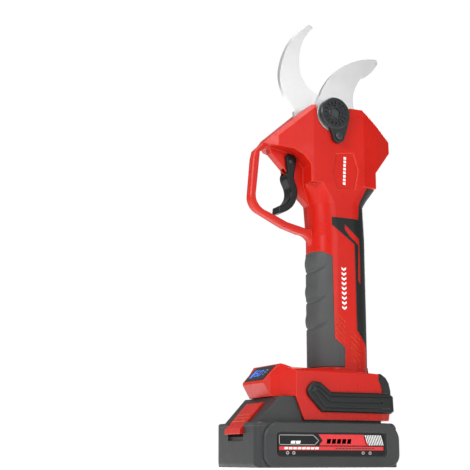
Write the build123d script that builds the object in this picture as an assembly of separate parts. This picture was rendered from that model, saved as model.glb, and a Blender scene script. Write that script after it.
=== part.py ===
from build123d import *
import os
from math import acos, atan, cos, degrees, pi, radians, sin, sqrt, tan

# Battery electric pruner. X runs from the front (trigger side, -X) to the rear, Y from the left shell (-Y) to
# the right one, Z up. The origin is the centre of the battery's base, on which the tool stands. Millimetres.

# Housing
WALL = 2.6                 # shell thickness
PAD_DEPTH = 1.2            # how deep a soft pad is let into the shell
PAD_PROUD = 0.35           # how far a soft pad stands out of the shell
HANDLE_X = 27.9            # centre of the handle's oval section
HANDLE_DEPTH = 46.4        # front to back
HANDLE_WIDTH = 36.6        # side to side
HANDLE_ROUND = 16.0        # corner radius of the oval
HANDLE_TOP_Z = 180.0       # the straight oval ends here and leans forward to the waist
WAIST_Z = 206.0            # narrowest place, under the head
WAIST_X = 26.4             # centre of the oval there
WAIST_DEPTH = 47.2
NECK_TOP_Z = 222.0         # where the faceted head begins
HEAD_HALF = 19.0           # half the head's thickness at its flat sides
FOOT_TOP_Z = 73.0
FOOT_EDGE = 6.0            # rounding of the foot's upper edges
WEB_HALF = 3.8             # half the thickness of the web that carries the trigger
GUARD_HALF = 4.2           # half the thickness of the trigger guard

# Blades and pivot
PIVOT_X = 18.0
PIVOT_Z = 279.5
PIVOT_R = 4.0
BLADE_T = 4.0              # thickness of both blades
HOOK_Y = 0.05              # near face of the hook blade
CUTTER_Y = -0.05           # far face of the cutting blade
RUN = 0.05                 # radial clearance of a running fit

# Drive, along an axis that leans back from the pivot into the handle
LEAN = 6.0                 # degrees
BEVEL_MODULE = 1.5         # at the large end of the teeth
SECTOR_TEETH = 36
PINION_TEETH = 12
BEVEL_FACE = 8.0
SECTOR_FROM = 206.0        # degrees round the pivot, first and last tooth of the sector
SECTOR_TO = 282.0
PLANET_MODULE = 0.55
SUN_TEETH = 12
PLANET_TEETH = 18
RING_TEETH = 48
GEAR_W = 6.0               # face width of suns and planets
CASE_R = 15.6              # gear case
MOTOR_R = 14.5
SHAFT_R = 1.6              # motor shaft
BACKLASH = 0.06            # taken off each flank of a tooth

# Battery pack
PACK_L = 120.0
PACK_H = 33.0
LID_Z = 30.0               # where the lid meets the case
SCREW_TOP = 31.2           # end of the lid screws' bores
PACK_LOW_ROUND = 3.0       # rounding of the pack's lower ends
PACK_REAR_ROUND = 7.0      # and of its upper rear end
CASE_HALF = 37.4           # half the width of the pack's case
BEZEL_HALF = 40.0          # half the width over the side bezels
TOWER_Z = 52.0             # top of the rail tower
CELL_R = 10.6
CELL_L = 70.0
CELL_PITCH = 21.6
LATCH_HALF = 14.0
LATCH_TRAVEL = 4.5

# Small movers
TRIGGER_X = -14.5
TRIGGER_Z = 239.5
TRIGGER_PIN_R = 1.5
TRIGGER_GAP = 4.4          # half the width of the gap between the trigger's two cheeks
TRIGGER_HALF = 6.5
BUTTON_X = -14.0
BUTTON_R = 4.0
FINGER_Z = (160.0, 137.0, 114.0)
# shell screws: x, z, and how far from the middle the head sits in the right shell
SHELL_SCREWS = [(66, 257, 8.6), (-21, 257, 12.0), (46.2, 183, 6.8), (43.5, 84, 9.0),
                (50, 66, 25.5), (1, 66, 25.5)]
HEAD_SCREWS = [(0.5, 271.5), (34.5, 272.5)]
TAIL_SCREW = (20.8, 260.6)
BEARING_R = 8.0
BEVEL_BACKLASH = 0.06
TERMINAL_Y = (-15.0, -5.0, 5.0, 15.0)
PACK_SCREWS = [(x, y) for x in (-56.7, 55.9) for y in (-27.0, 27.0)]
SPRING_X = -50.0
SPRING_R = 1.9
SPRING_LOW = 28.4
SPRING_TOP = 36.6

ORBIT = PLANET_MODULE * (SUN_TEETH + PLANET_TEETH) / 2
RING_OUT = 14.9


# ---------------------------------------------------------------- helpers
def profile(points, y):
    """Closed face in the XZ plane at the given Y."""
    return make_face(Polyline(*[(x, y, z) for x, z in points], close=True))


def plate(points, y_low, y_high):
    """Outline in XZ made into a plate between two Y values."""
    return extrude(profile(points, y_low), amount=y_high - y_low, dir=(0, 1, 0))


def curved(start, steps, y_low, y_high):
    """Plate in XZ. A step is the next corner, or a pair: a point that an arc passes through and its end."""
    def at(point):
        return (point[0], y_low, point[1])

    edges = []
    here = start
    for step in steps:
        if isinstance(step[0], tuple):
            edges.append(ThreePointArc(at(here), at(step[0]), at(step[1])))
            here = step[1]
        else:
            edges.append(Line(at(here), at(step)))
            here = step
    edges.append(Line(at(here), at(start)))
    return extrude(make_face(edges), amount=y_high - y_low, dir=(0, 1, 0))


def plan(points, z_low, z_high):
    """Outline in XY made into a block between two Z values."""
    face = make_face(Polyline(*[(x, y, z_low) for x, y in points], close=True))
    return extrude(face, amount=z_high - z_low, dir=(0, 0, 1))


def block(x0, x1, y0, y1, z0, z1):
    centre = ((x0 + x1) / 2, (y0 + y1) / 2, (z0 + z1) / 2)
    return Pos(*centre) * Box(x1 - x0, y1 - y0, z1 - z0)


def cross_rod(x, z, y0, y1, r):
    """Round bar along Y."""
    return Pos(x, (y0 + y1) / 2, z) * Rot(90, 0, 0) * Cylinder(r, y1 - y0)


def post(x, y, z0, z1, r):
    """Round bar along Z."""
    return Pos(x, y, (z0 + z1) / 2) * Cylinder(r, z1 - z0)


def mirrored(points):
    """Half outline (x, y), y positive, completed on the other side of Y = 0."""
    return list(points) + [(x, -y) for x, y in reversed(points)]


def joined(shapes):
    shapes = list(shapes)
    return shapes[0].fuse(*shapes[1:]) if len(shapes) > 1 else shapes[0]


def save(node, shape):
    solids = shape.solids()
    export_step(Compound(children=list(solids)) if len(solids) > 1 else solids[0], f"parts/{node}.step")


def left(shape):
    return shape & block(-150, 150, -80, 0, -50, 450)


def right(shape):
    return shape & block(-150, 150, 0, 80, -50, 450)


# ---------------------------------------------------------------- housing
FOOT_SIDE = [(-18.5, 35), (57.5, 35), (59.2, 40.5), (60.4, 50), (60.4, 58), (58, 64), (54, 67.6),
             (47, 70.2), (6, FOOT_TOP_Z + 0.4), (-26, FOOT_TOP_Z + 1), (-29, 75), (-33.5, 76.8),
             (-45.6, 64.2), (-45.6, 62.2), (-39.5, 52.4), (-25.5, 52.4)]
FOOT_PLAN = mirrored([(-48, 18.2), (-40, 19.2), (-34, 23.8), (-25, 33), (47, 33.6), (62.5, 24)])
HEAD_SIDE = [(-38.4, 252.8), (-33.4, 258), (0, 286.4), (50, 286.4), (74.4, 268.6), (74.9, 255.2),
             (58.1, 235.4), (58.1, NECK_TOP_Z), (-2.2, NECK_TOP_Z), (-2.2, 236), (-8, 243), (-16, 247.5),
             (-30, 250)]
HEAD_PLAN = mirrored([(-46, 4.2), (-38, 5), (-29, 14.5), (-14, 17.5), (0, HEAD_HALF), (46, HEAD_HALF),
                      (60, 16), (76, 10)])
NECK_PLAN = mirrored([(-2.2, 7.5), (7.5, HEAD_HALF), (44, HEAD_HALF), (58.1, 13)])
WEB_SIDE = [(-33, 253), (-30.6, 245.7), (-21, 236), (-11.6, 226), (-9, 215.7), (1.5, 205.6),
            (12, 205.6), (12, 252)]


def inset_face(face, inset):
    return offset(face, amount=-inset, kind=Kind.INTERSECTION) if inset else face


def oval(depth, width, round_r, inset, centre_x, z):
    """Section of the handle at height z, made smaller by inset."""
    face = RectangleRounded(depth - 2 * inset, width - 2 * inset, round_r - inset)
    return Pos(centre_x, 0, z) * face


def handle(inset):
    section = oval(HANDLE_DEPTH, HANDLE_WIDTH, HANDLE_ROUND, inset, HANDLE_X, 60)
    return extrude(section, amount=HANDLE_TOP_Z - 60)


def neck(inset):
    """From the oval handle through the waist to the faceted head."""
    lower = oval(HANDLE_DEPTH, HANDLE_WIDTH, HANDLE_ROUND, inset, HANDLE_X, HANDLE_TOP_Z)
    waist = oval(WAIST_DEPTH, HANDLE_WIDTH, HANDLE_ROUND, inset, WAIST_X, WAIST_Z)
    top = Pos(0, 0, NECK_TOP_Z) * inset_face(make_face(Polyline(*NECK_PLAN, close=True)), inset)
    return loft([lower, waist], ruled=True) + loft([waist, top], ruled=True)


def foot_roof():
    """Cross section of the foot in YZ: upright sides, rounded shoulders, and room above for the pod."""
    side, shoulder, crown = 34.0, FOOT_TOP_Z + 0.6 - FOOT_EDGE, FOOT_TOP_Z + 0.6
    middle = (0, side - 0.29 * FOOT_EDGE, crown - 0.29 * FOOT_EDGE)
    lines = [Line((0, -24, 80), (0, 24, 80)), Line((0, 24, 80), (0, side - FOOT_EDGE, crown)),
             ThreePointArc((0, side - FOOT_EDGE, crown), middle, (0, side, shoulder)),
             Line((0, side, shoulder), (0, side, 20)), Line((0, side, 20), (0, -side, 20)),
             Line((0, -side, 20), (0, -side, shoulder)),
             ThreePointArc((0, -side, shoulder), (0, -middle[1], middle[2]), (0, FOOT_EDGE - side, crown)),
             Line((0, FOOT_EDGE - side, crown), (0, -24, 80))]
    return make_face(lines)


def foot(inset):
    side = extrude(inset_face(profile(FOOT_SIDE, -40), inset), amount=80, dir=(0, 1, 0))
    over = extrude(Pos(0, 0, 20) * inset_face(make_face(Polyline(*FOOT_PLAN, close=True)), inset), amount=80)
    roof = extrude(Pos(-60, 0, 0) * inset_face(foot_roof(), inset), amount=140, dir=(1, 0, 0))
    return side & over & roof


def throat_facets(inset):
    """What the slanted facets under the head's front take off its lower corners."""
    low = Vector(-2.2, 7.5, NECK_TOP_Z)
    across = Vector(7.5, HEAD_HALF, NECK_TOP_Z) - low
    upward = Vector(-2.2, HEAD_HALF, 236) - low
    facet = Plane(origin=low, x_dir=across, z_dir=across.cross(upward))
    corner = block(-2.2, 20, 0, 30, NECK_TOP_Z - 5, 236)
    taken = split(corner, bisect_by=facet.offset(inset), keep=Keep.BOTTOM)
    return taken + mirror(taken, about=Plane.XZ)


def head(inset):
    side = extrude(inset_face(profile(HEAD_SIDE, -40), inset), amount=80, dir=(0, 1, 0))
    above = inset_face(make_face(Polyline(*HEAD_PLAN, close=True)), inset)
    over = extrude(Pos(0, 0, 200) * above, amount=110)
    return side & over


def soft_zone(outline):
    """A pad: the shell's outer layer inside an outline, from its pocket floor to just proud of the shell."""
    zone = plate(outline, -45, 45)
    shape = (handle(-PAD_PROUD) + neck(-PAD_PROUD)) & zone
    return shape - handle(PAD_DEPTH) - neck(PAD_DEPTH)


def head_block():
    """The faceted head with its broad bevels along the shoulders and the rear."""
    body = head(0)
    rim = [e for e in body.edges()
           if abs(e.center().Y) > 9 and e.length > 8 and e.center().Z > 262 and not -1 < e.center().X < 47]
    return chamfer(rim, 3.2)


def guard():
    """Trigger guard: a bar bent from the shoulder round to the neck."""
    bar = curved((-33, 258), [(-44.7, 246.6), (-46.3, 240), (-49.0, 210), ((-47.4, 202.4), (-41.2, 196.6)),
                              (-20, 186.4), (-6, 182.2), ((1.6, 179.4), (4.8, 171)), (12, 171), (12, 187),
                              (-1, 187), (-16.5, 190.6), (-34, 198), ((-42.4, 204.5), (-43.6, 214)),
                              (-41, 238), (-40.2, 246), (-35, 249.5), (-26, 250), (-20, 264)],
                 -GUARD_HALF, GUARD_HALF)
    rim = [e for e in bar.edges() if abs(abs(e.center().Y) - GUARD_HALF) < 0.01]
    return chamfer(rim, 0.9)


def bosses(outer):
    posts = joined(cross_rod(x, z, -40, 40, 3.3) for x, z, _ in SHELL_SCREWS)
    return posts & outer


def screw_bores():
    """Pilot holes in the left shell, through holes and head seats in the right one."""
    cutters = []
    for x, z, seat in SHELL_SCREWS:
        cutters.append(cross_rod(x, z, seat - 17, seat + 1, 1.25))
        cutters.append(cross_rod(x, z, seat, 45, 2.9))
    return joined(cutters)


def hatch_grooves():
    """Two groups of short slanting grooves on the sides of the handle."""
    bars = []
    for k in range(5):
        z = 99 + 4.2 * k
        bars.append(plate([(18.4, z + 1.4), (25.2, z - 5.0), (25.2, z - 3.8), (18.4, z + 2.6)], -45, 45))
    for k in range(6):
        z = 81 + 4.2 * k
        bars.append(plate([(30.5, z + 1.4), (38.5, z - 4.6), (38.5, z - 3.4), (30.5, z + 2.6)], -45, 45))
    return joined(bars) & (handle(-1) - handle(0.6))


def drive_frame(shape):
    """From the drive's own frame (pivot at the origin, drive axis along -Z) to its leaning place."""
    return Pos(PIVOT_X, 0, PIVOT_Z) * Rot(0, -LEAN, 0) * shape


def carrying_ribs():
    """Ribs inside the shells that hold the gear case and the motor."""
    ribs = []
    for depth, hole in ((54.0, CASE_R), (73.0, MOTOR_R), (107.0, MOTOR_R)):
        rib = post(0, 0, -depth - 2.4, -depth, 40) - post(0, 0, -depth - 3, -depth + 1, hole)
        ribs.append(drive_frame(rib))
    return joined(ribs) & (handle(WALL - 0.2) + neck(WALL - 0.2) + head(WALL - 0.2))


def tower_room():
    """Space under the foot that the battery's rail tower slides in, with the rails left standing."""
    room = block(-27, 51.2, -31, 31, 33, 52.4)
    rails = [block(-17, 50, s * 28.5 - 2.5, s * 28.5 + 2.5, 38.4, 41.6) for s in (-1, 1)]
    return room - joined(rails)


def display_frame(shape):
    """From the display's own frame to the pod's sloping face."""
    return Pos(-39.75, 0, 70.4) * Rot(0, -45.7, 0) * shape


def display_cuts():
    glass = Pos(0, 0, -0.5) * Box(15.6, 34.2, 2.0)
    well = Pos(0, 0, -5) * Box(12.4, 30.4, 10)
    return display_frame(glass + well)


def trigger_pockets():
    zone = [(-26, 222), (-24.5, 243.5), (-19.4, 247.2), (-9.6, 247), (-6.4, 242), (-4, 232), (-2.5, 222)]
    deep = TRIGGER_HALF + 0.7
    return plate(zone, -deep, -WEB_HALF) + plate(zone, WEB_HALF, deep)


def panel_recess():
    outline = [(19.4, 247), (36, 248.9), (40.3, 235.2), (37.1, 218.6), (20.6, 217.4), (16.3, 231)]
    zone = plate(outline, -25, 25)
    return zone - block(-50, 100, -HEAD_HALF + 0.8, HEAD_HALF - 0.8, 200, 300)


def housing(pads):
    web = plate(WEB_SIDE, -WEB_HALF, WEB_HALF)
    outer = handle(0) + neck(0) + foot(0) + head_block() + web + guard()
    neck_plan = inset_face(make_face(Polyline(*NECK_PLAN, close=True)), WALL)
    throat = extrude(Pos(0, 0, NECK_TOP_Z - 0.5) * neck_plan, amount=WALL + 1)
    hollow = handle(WALL) + neck(WALL) + foot(WALL) + head(WALL) + throat
    shell = outer - hollow + (web & block(-40, 2, -8, 8, 200, 252)) + bosses(outer) + carrying_ribs()
    shell = shell - tower_room() - display_cuts() - trigger_pockets() - panel_recess() - hatch_grooves()
    blade_slot = block(-12.5, 47.6, -4.6, 4.6, 262, 295)
    pivot_windows = cross_rod(PIVOT_X, PIVOT_Z, -40, -13, 15.1) + cross_rod(PIVOT_X, PIVOT_Z, 13, 40, 15.1)
    top_gap = block(PIVOT_X - 16.8, PIVOT_X + 16.8, -14, 14, PIVOT_Z, 295)
    top_gap = top_gap + block(PIVOT_X - 15.1, PIVOT_X + 15.1, -40, 40, PIVOT_Z, 295)
    shell = shell - blade_slot - pivot_windows - top_gap - screw_bores()
    shell = shell - cross_rod(TRIGGER_X, TRIGGER_Z, -12, 12, TRIGGER_PIN_R) - spring_room()
    shell = shell - post(BUTTON_X, 0, 65, 80, BUTTON_R + 0.3) - tail_screw()
    for pad in pads:
        shell = shell - pad
    return shell


# ---------------------------------------------------------------- pads
def grip_pad():
    """Soft front of the handle, swollen between the fingers."""
    outline = [(-5, 76), (25.2, 76), (25.5, 91.7), (16.8, 98.4), (16, 163.5), (9, 167.2), (-5, 169.5)]
    pad = soft_zone(outline)
    for z in FINGER_Z:
        swell = Pos(10.3, 0, z) * scale(Sphere(1), by=(7.0, 14.0, 12.0))
        pad = pad + (swell - handle(PAD_DEPTH))
    return pad


def back_pad():
    """Soft back of the handle with its hooked patch at the neck."""
    outline = [(49.5, 221.5), (66, 221.5), (66, 72.4), (50.0, 72.4), (49.2, 92), (41.4, 99.4), (36.4, 105.5),
               (35.6, 174), (15.7, 188.5), (15.7, 194.8), (40, 194.5), (42, 209)]
    window = [(26.9, 189.6), (40.1, 178.5), (40.8, 169.6), (40.9, 141.5), (38.5, 145.3), (39.2, 173.6),
              (31.2, 180.2), (26.8, 185.6)]
    return soft_zone(outline) - plate(window, -45, 45)


def heel_pad():
    """Soft rear corner of the foot, run up into the back of the handle."""
    outline = [(50.2, 56), (45.2, 66), (46.4, 76), (66, 76), (66, 41), (57.6, 41), (57.6, 54), (53.4, 56)]
    cove = curved((49, 77), [(51.2, 77), ((52.8, 70.2), (57.0, 65.2)), (49, 65.2)], -8, 8)
    pad = (foot(-PAD_PROUD) - foot(PAD_DEPTH)) & plate(outline, -45, 45)
    return pad + (cove - handle(-PAD_PROUD - 0.1) - foot(0))


def bumper(side):
    """Ribbed rubber bumper let into the side of the foot; side is -1 for left, 1 for right."""
    outline = [(-17.2, 56.5), (-14.6, 61), (-11.2, 63.3), (-6.1, 62.7), (3.1, 55.6), (53.2, 55.6),
               (56.7, 53.2), (57.2, 42.1), (54.6, 40.2), (-4.8, 40.8), (-15.6, 52.2)]
    band = [(-13.6, 56.2), (-11.6, 59.6), (-8.2, 59.2), (1.2, 52.6), (53.2, 52.6), (53.2, 43.4), (-3.6, 43.4)]
    groove = [(-9.6, 57.4), (0, 48.9), (46, 48.9), (46, 47.3), (-0.8, 47.3), (-11, 56)]
    base = plate(outline, 32.2, 36.4)
    base = chamfer([e for e in base.edges() if e.center().Y > 36.3], 1.1)
    ridge = plate(band, 36.4, 38.0)
    ridge = chamfer([e for e in ridge.edges() if e.center().Y > 37.9], 0.9)
    shape = base + ridge - plate(groove, 36.9, 40)
    return shape if side > 0 else mirror(shape, about=Plane.XZ)


# ---------------------------------------------------------------- blades and pivot
def hook_blade():
    """Fixed hooked blade with its bevelled back, clamped to the right cheek."""
    y0 = HOOK_Y
    steps = [((-17.5, 300), (-20.6, 316)), ((-15.2, 336), (4, 360.9)), ((8, 361), (11, 359.3)),
             ((-0.2, 343), (-2.6, 327)), ((2.2, 310), (16, 300.7)), (27, 299),
             ((37, 282), (18, 262.8)), (2, 265), (-6, 272), (-7.4, 284)]
    blade = curved((-7, 285), steps, y0, y0 + BLADE_T)
    back = [e for e in blade.edges() if abs(e.center().Y - y0) < 0.01 and e.center().X < -6
            and e.center().Z > 300 and e.length > 25]
    blade = chamfer(back, 0.9, 2.6, reference=blade.faces().sort_by(Axis.Y)[0])
    blade = blade - cross_rod(PIVOT_X, PIVOT_Z, -1, 9, PIVOT_R + RUN)
    for x, z in HEAD_SCREWS:
        blade = blade - cross_rod(x, z, -1, 9, 2.0) - countersink(x, z)
    return blade


def countersink(x, z):
    return Pos(x, HOOK_Y + 0.95, z) * Rot(-90, 0, 0) * Cone(3.9, 2.0, 2.0)


def cutting_blade():
    """Moving blade, drawn open."""
    y1 = CUTTER_Y
    steps = [((24.5, 317.4), (45.7, 332.8)), ((57, 336.8), (68.2, 338.4)), ((69.6, 337), (69.4, 334)),
             ((63.2, 326.2), (52.6, 318.4)), ((46.6, 308), (45.9, 292)), (44.4, 285),
             ((37, 272.5), (31.5, 272.2)), ((18, 264.2), (4.5, 274.5)), ((4.2, 286), (11.5, 293.5))]
    blade = curved((13.8, 298.7), steps, y1 - BLADE_T, y1)
    return blade - cross_rod(PIVOT_X, PIVOT_Z, -9, 1, PIVOT_R + RUN) - dowel_bores()


def dowel_places():
    """Dowels that pin the sector to the cutting blade, on a circle round the pivot."""
    return [(PIVOT_X + 10.0 * cos(radians(a)), PIVOT_Z + 10.0 * sin(radians(a))) for a in (40, 160, 280)]


def dowel_bores():
    return joined(cross_rod(x, z, -20, 1, 1.5) for x, z in dowel_places())


def gear_dowels():
    return joined(cross_rod(x, z, -12, CUTTER_Y - 0.2, 1.5) for x, z in dowel_places())


def lock_plate():
    """Black toothed plate that locks the pivot nut, with a tail for its screw."""
    y0, y1 = -23.6, -19.15
    disc = cross_rod(PIVOT_X, PIVOT_Z, y0, y1, 13.0)
    tail = curved((29.9, 274.2), [((28.2, 266), (25.9, 260)), ((21.4, 255.3), (15.9, 259.6)),
                                  ((12.2, 268), (6.6, 273.4)), (18, 280)], y0 + 0.8, y1)
    disc = chamfer([e for e in disc.edges() if abs(e.center().Y - y0) < 0.01], 0.8)
    shape = disc + tail
    for k in range(16):
        slot = Pos(0, 0, 8.8) * Box(1.2, 2.4, 3.0)
        shape = shape - Pos(PIVOT_X, y0, PIVOT_Z) * Rot(0, 22.5 * k, 0) * slot
    shape = shape - cross_rod(PIVOT_X, PIVOT_Z, y0 - 1, y0 + 2.2, 6.4)
    shape = shape - cross_rod(PIVOT_X, PIVOT_Z, y0 - 1, y1 + 1, PIVOT_R + 0.1)
    return shape - cross_rod(TAIL_SCREW[0], TAIL_SCREW[1], -40, -15, 1.6)


def tail_screw():
    """Shank of the screw in the lock plate's tail, which bites into the left shell."""
    x, z = TAIL_SCREW
    return cross_rod(x, z, -22.9, -14.2, 1.6)


def lock_screw():
    x, z = TAIL_SCREW
    head = cross_rod(x, z, -24.4, -22.8, 3.0)
    head = chamfer([e for e in head.edges() if e.center().Y < -24.3], 0.5)
    return head + tail_screw() - cross_rod(x, z, -25, -23.6, 1.3)


def pivot_bolt():
    shank = cross_rod(PIVOT_X, PIVOT_Z, -22.4, 18.0, PIVOT_R)
    hexagon = extrude(RegularPolygon(7.5, 6), amount=2.2, both=True)
    head = Pos(PIVOT_X, 20.2, PIVOT_Z) * Rot(90, 0, 0) * hexagon
    head = head & cross_rod(PIVOT_X, PIVOT_Z, 17, 23, 7.1)
    return shank + head


def pivot_nut():
    """Round nut in the middle of the lock plate."""
    nut = cross_rod(PIVOT_X, PIVOT_Z, -23.9, -21.4, 6.2)
    nut = chamfer([e for e in nut.edges() if e.center().Y < -23.8], 0.6)
    for k in range(3):
        nut = nut - Pos(PIVOT_X, -24, PIVOT_Z) * Rot(0, 60 * k, 0) * Box(1.4, 1.6, 13)
    return nut - cross_rod(PIVOT_X, PIVOT_Z, -25, -20, PIVOT_R)


def strap(y0, y1):
    """Leg of a cheek that reaches down to the bearing housing."""
    leg = drive_frame(block(-9.5, 9.5, y0, y1, -39.5, -4))
    for along in (-6.0, 6.0):
        leg = leg - drive_frame(cross_rod(along, -35.2, y0 - 1, y1 + 1, 1.5))
    return leg


def cheek_left():
    """Aluminium bracket between the lock plate and the sector gear."""
    body = cross_rod(PIVOT_X, PIVOT_Z, -16.3, -14.05, 15.0) + strap(-16.3, -14.05)
    body = body + cross_rod(PIVOT_X, PIVOT_Z, -19.1, -16.2, 14.4) - tail_screw()
    return body - cross_rod(PIVOT_X, PIVOT_Z, -20, -12, PIVOT_R)


def cheek_right():
    """Aluminium bracket that carries the hook blade."""
    y0 = HOOK_Y + BLADE_T
    body = cross_rod(PIVOT_X, PIVOT_Z, y0, 8, 16.4) + cross_rod(PIVOT_X, PIVOT_Z, 8, 17.9, 14.4)
    for x, z in HEAD_SCREWS:
        arm = plate([(18, 279), (18, 271), (x, z - 4), (x, z + 4)], y0, 8)
        body = body + cross_rod(x, z, y0, 8, 4.5) + arm
    body = body + (strap(14.05, 16.3) & block(-50, 80, 0, 30, 200, PIVOT_Z - 5))
    body = body - cross_rod(PIVOT_X, PIVOT_Z, 3, 20, PIVOT_R)
    for x, z in HEAD_SCREWS:
        body = body - cross_rod(x, z, 3, 9, 1.9)
    return body


def head_screws():
    """Countersunk screws of the hook blade and the cap screws of the cheeks."""
    screws = []
    for x, z in HEAD_SCREWS:
        screws.append(countersink(x, z) + cross_rod(x, z, HOOK_Y + 0.5, 8, 1.9))
    for along in (-6.0, 6.0):
        for side in (-1, 1):
            shank = cross_rod(along, -35.2, *sorted((side * 10.5, side * 16.3)), 1.5)
            screws.append(drive_frame(shank))
    return screws


# ---------------------------------------------------------------- gears
def involute_half_angle(r, pitch_r, teeth):
    """Half the angle that a tooth with a 20 degree pressure angle covers at radius r."""
    pressure = radians(20)
    base_r = pitch_r * cos(pressure)
    at_r = acos(min(1.0, base_r / r)) if r > base_r else 0.0
    return pi / (2 * teeth) + (tan(pressure) - pressure) - (tan(at_r) - at_r)


def gear_points(module, teeth, tip, root, backlash, turned=0.0):
    """Outline of a spur gear: each flank has four corners. tip and root are heights in modules."""
    pitch_r = module * teeth / 2
    levels = [pitch_r - root * module, pitch_r * 0.975, pitch_r + 0.4 * tip * module, pitch_r + tip * module]
    flank = [(r, involute_half_angle(r, pitch_r, teeth) - backlash / r) for r in levels]
    points = []
    for k in range(teeth):
        middle = radians(turned) + 2 * pi * k / teeth
        for r, half in flank:
            points.append((r * cos(middle - half), r * sin(middle - half)))
        for r, half in reversed(flank):
            points.append((r * cos(middle + half), r * sin(middle + half)))
    return points


def spur(points, depth_top, depth_low):
    """Gear outline made into a wheel between two depths below the pivot."""
    return plan(points, -depth_low, -depth_top)


def sun_gear(depth_top):
    points = gear_points(PLANET_MODULE, SUN_TEETH, 0.85, 1.1, BACKLASH)
    return spur(points, depth_top, depth_top + GEAR_W)


def planet(depth_top, turn):
    """Planet gear on its pin, in the drive's frame, at the given angle round the axis."""
    half_pitch = 180.0 / PLANET_TEETH
    points = gear_points(PLANET_MODULE, PLANET_TEETH, 0.85, 1.1, BACKLASH, half_pitch)
    bore = post(0, 0, -depth_top - 9, -depth_top + 1, 1.2 + RUN)
    wheel = spur(points, depth_top, depth_top + GEAR_W) - bore
    return drive_frame(Rot(0, 0, turn) * Pos(ORBIT, 0, 0) * wheel)


def ring_gear():
    """One internal gear for both planetary stages."""
    half_pitch = 180.0 / RING_TEETH
    teeth = gear_points(PLANET_MODULE, RING_TEETH, 1.1, 0.8, -BACKLASH, half_pitch)
    body = post(0, 0, -64.0, -45.5, RING_OUT) - spur(teeth, 45, 65)
    return drive_frame(body)


def carrier(depth_top, depth_low, shaft_r):
    """Disc with three pins for the planets under it."""
    shape = post(0, 0, -depth_low, -depth_top, 11.6)
    for k in range(3):
        pin = post(ORBIT, 0, -depth_low - GEAR_W - 0.6, -depth_low + 0.5, 1.2)
        shape = shape + Rot(0, 0, 120 * k) * pin
    return shape - post(0, 0, -depth_low - 1, -depth_top + 1, shaft_r) if shaft_r else shape


def bevel_pinion():
    """Pinion whose teeth all taper to the pivot point, on the output shaft."""
    cone = atan(PINION_TEETH / SECTOR_TEETH)
    distance = BEVEL_MODULE * SECTOR_TEETH / 2 / cos(cone)
    heel = BEVEL_MODULE * SECTOR_TEETH / 2
    virtual_teeth = PINION_TEETH / cos(cone)
    virtual_r = BEVEL_MODULE * virtual_teeth / 2
    outline = []
    flank = []
    for height in (-1.75, -0.5, 0.45, 1.35):
        spread = involute_half_angle(virtual_r + height, virtual_r, virtual_teeth) * (virtual_r + height)
        real_r = PINION_TEETH * BEVEL_MODULE / 2 + height * cos(cone)
        at_heel = heel * tan(cone + atan(height / distance))
        flank.append((at_heel, (spread - BEVEL_BACKLASH) / real_r))
    for k in range(PINION_TEETH):
        middle = -pi / 2 + pi / PINION_TEETH + 2 * pi * k / PINION_TEETH
        for r, half in flank:
            outline.append((r * cos(middle - half), r * sin(middle - half)))
        for r, half in reversed(flank):
            outline.append((r * cos(middle + half), r * sin(middle + half)))
    toe = (distance - BEVEL_FACE) / distance
    body = frustum(outline, heel, heel * toe)
    shaft = post(0, 0, -45.0, -27.0, PIVOT_R) + post(0, 0, -29.0, -27.0, 5.6)
    return drive_frame(body + shaft)


def frustum(outline, heel, toe):
    """Solid between two cross sections that shrink towards the pivot point."""
    def ring(depth):
        return [Vector(x * depth / heel, y * depth / heel, -depth) for x, y in outline]

    low, high = ring(heel), ring(toe)
    faces = [Face(Wire.make_polygon(low)), Face(Wire.make_polygon(high))]
    for k in range(len(outline)):
        after = (k + 1) % len(outline)
        faces.append(Face(Wire.make_polygon([low[k], low[after], high[after], high[k]])))
    return Solid(Shell(faces))


def bevel_tooth(angle):
    """One tooth of the sector, tapering to the pivot point; angle runs in its own plane from +X to +Z."""
    cone = atan(SECTOR_TEETH / PINION_TEETH)
    heel_r = BEVEL_MODULE * SECTOR_TEETH / 2
    heel_y = BEVEL_MODULE * PINION_TEETH / 2
    distance = sqrt(heel_r ** 2 + heel_y ** 2)
    toe = (distance - BEVEL_FACE) / distance

    def corner(height, side, scale_to):
        half = BEVEL_MODULE * pi / 4 - BEVEL_BACKLASH - height * tan(radians(20))
        r = heel_r + height * cos(cone)
        y = -(heel_y - height * sin(cone))
        a = radians(angle) + side * half / r
        return Vector(r * cos(a) * scale_to, y * scale_to, r * sin(a) * scale_to)

    heel = [corner(-2.3, -1, 1), corner(-2.3, 1, 1), corner(1.05, 1, 1), corner(1.05, -1, 1)]
    end = [corner(-2.3, -1, toe), corner(-2.3, 1, toe), corner(1.05, 1, toe), corner(1.05, -1, toe)]
    faces = [Face(Wire.make_polygon(heel)), Face(Wire.make_polygon(end))]
    for k in range(4):
        after = (k + 1) % 4
        faces.append(Face(Wire.make_polygon([heel[k], heel[after], end[after], end[k]])))
    return Solid(Shell(faces))


def sector_gear():
    """Bevel sector fixed to the cutting blade."""
    section = [(PIVOT_R + RUN, -13.5), (26.2, -13.5), (26.4, -11.0), (18.4, -7.9), (16.2, -4.05),
               (PIVOT_R + RUN, -4.05)]
    disc = revolve(make_face(Polyline(*[(r, y, 0) for r, y in section], close=True)), Axis.Y)
    reach = 60
    first, last = radians(SECTOR_FROM - 4), radians(SECTOR_TO + 4)
    middle = (first + last) / 2
    wedge = [(0, 0)] + [(reach * cos(a), reach * sin(a)) for a in (first, middle, last)]
    body = disc & (plate(wedge, -20, 0) + cross_rod(0, 0, -20, 0, 13.0))
    step = 360.0 / SECTOR_TEETH
    first_tooth = 270.0 - step * int((270.0 - SECTOR_FROM) / step)
    count = int((SECTOR_TO - first_tooth) / step) + 1
    for k in range(count):
        body = body + bevel_tooth(first_tooth + step * k)
    return drive_frame(body) - dowel_bores()


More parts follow.
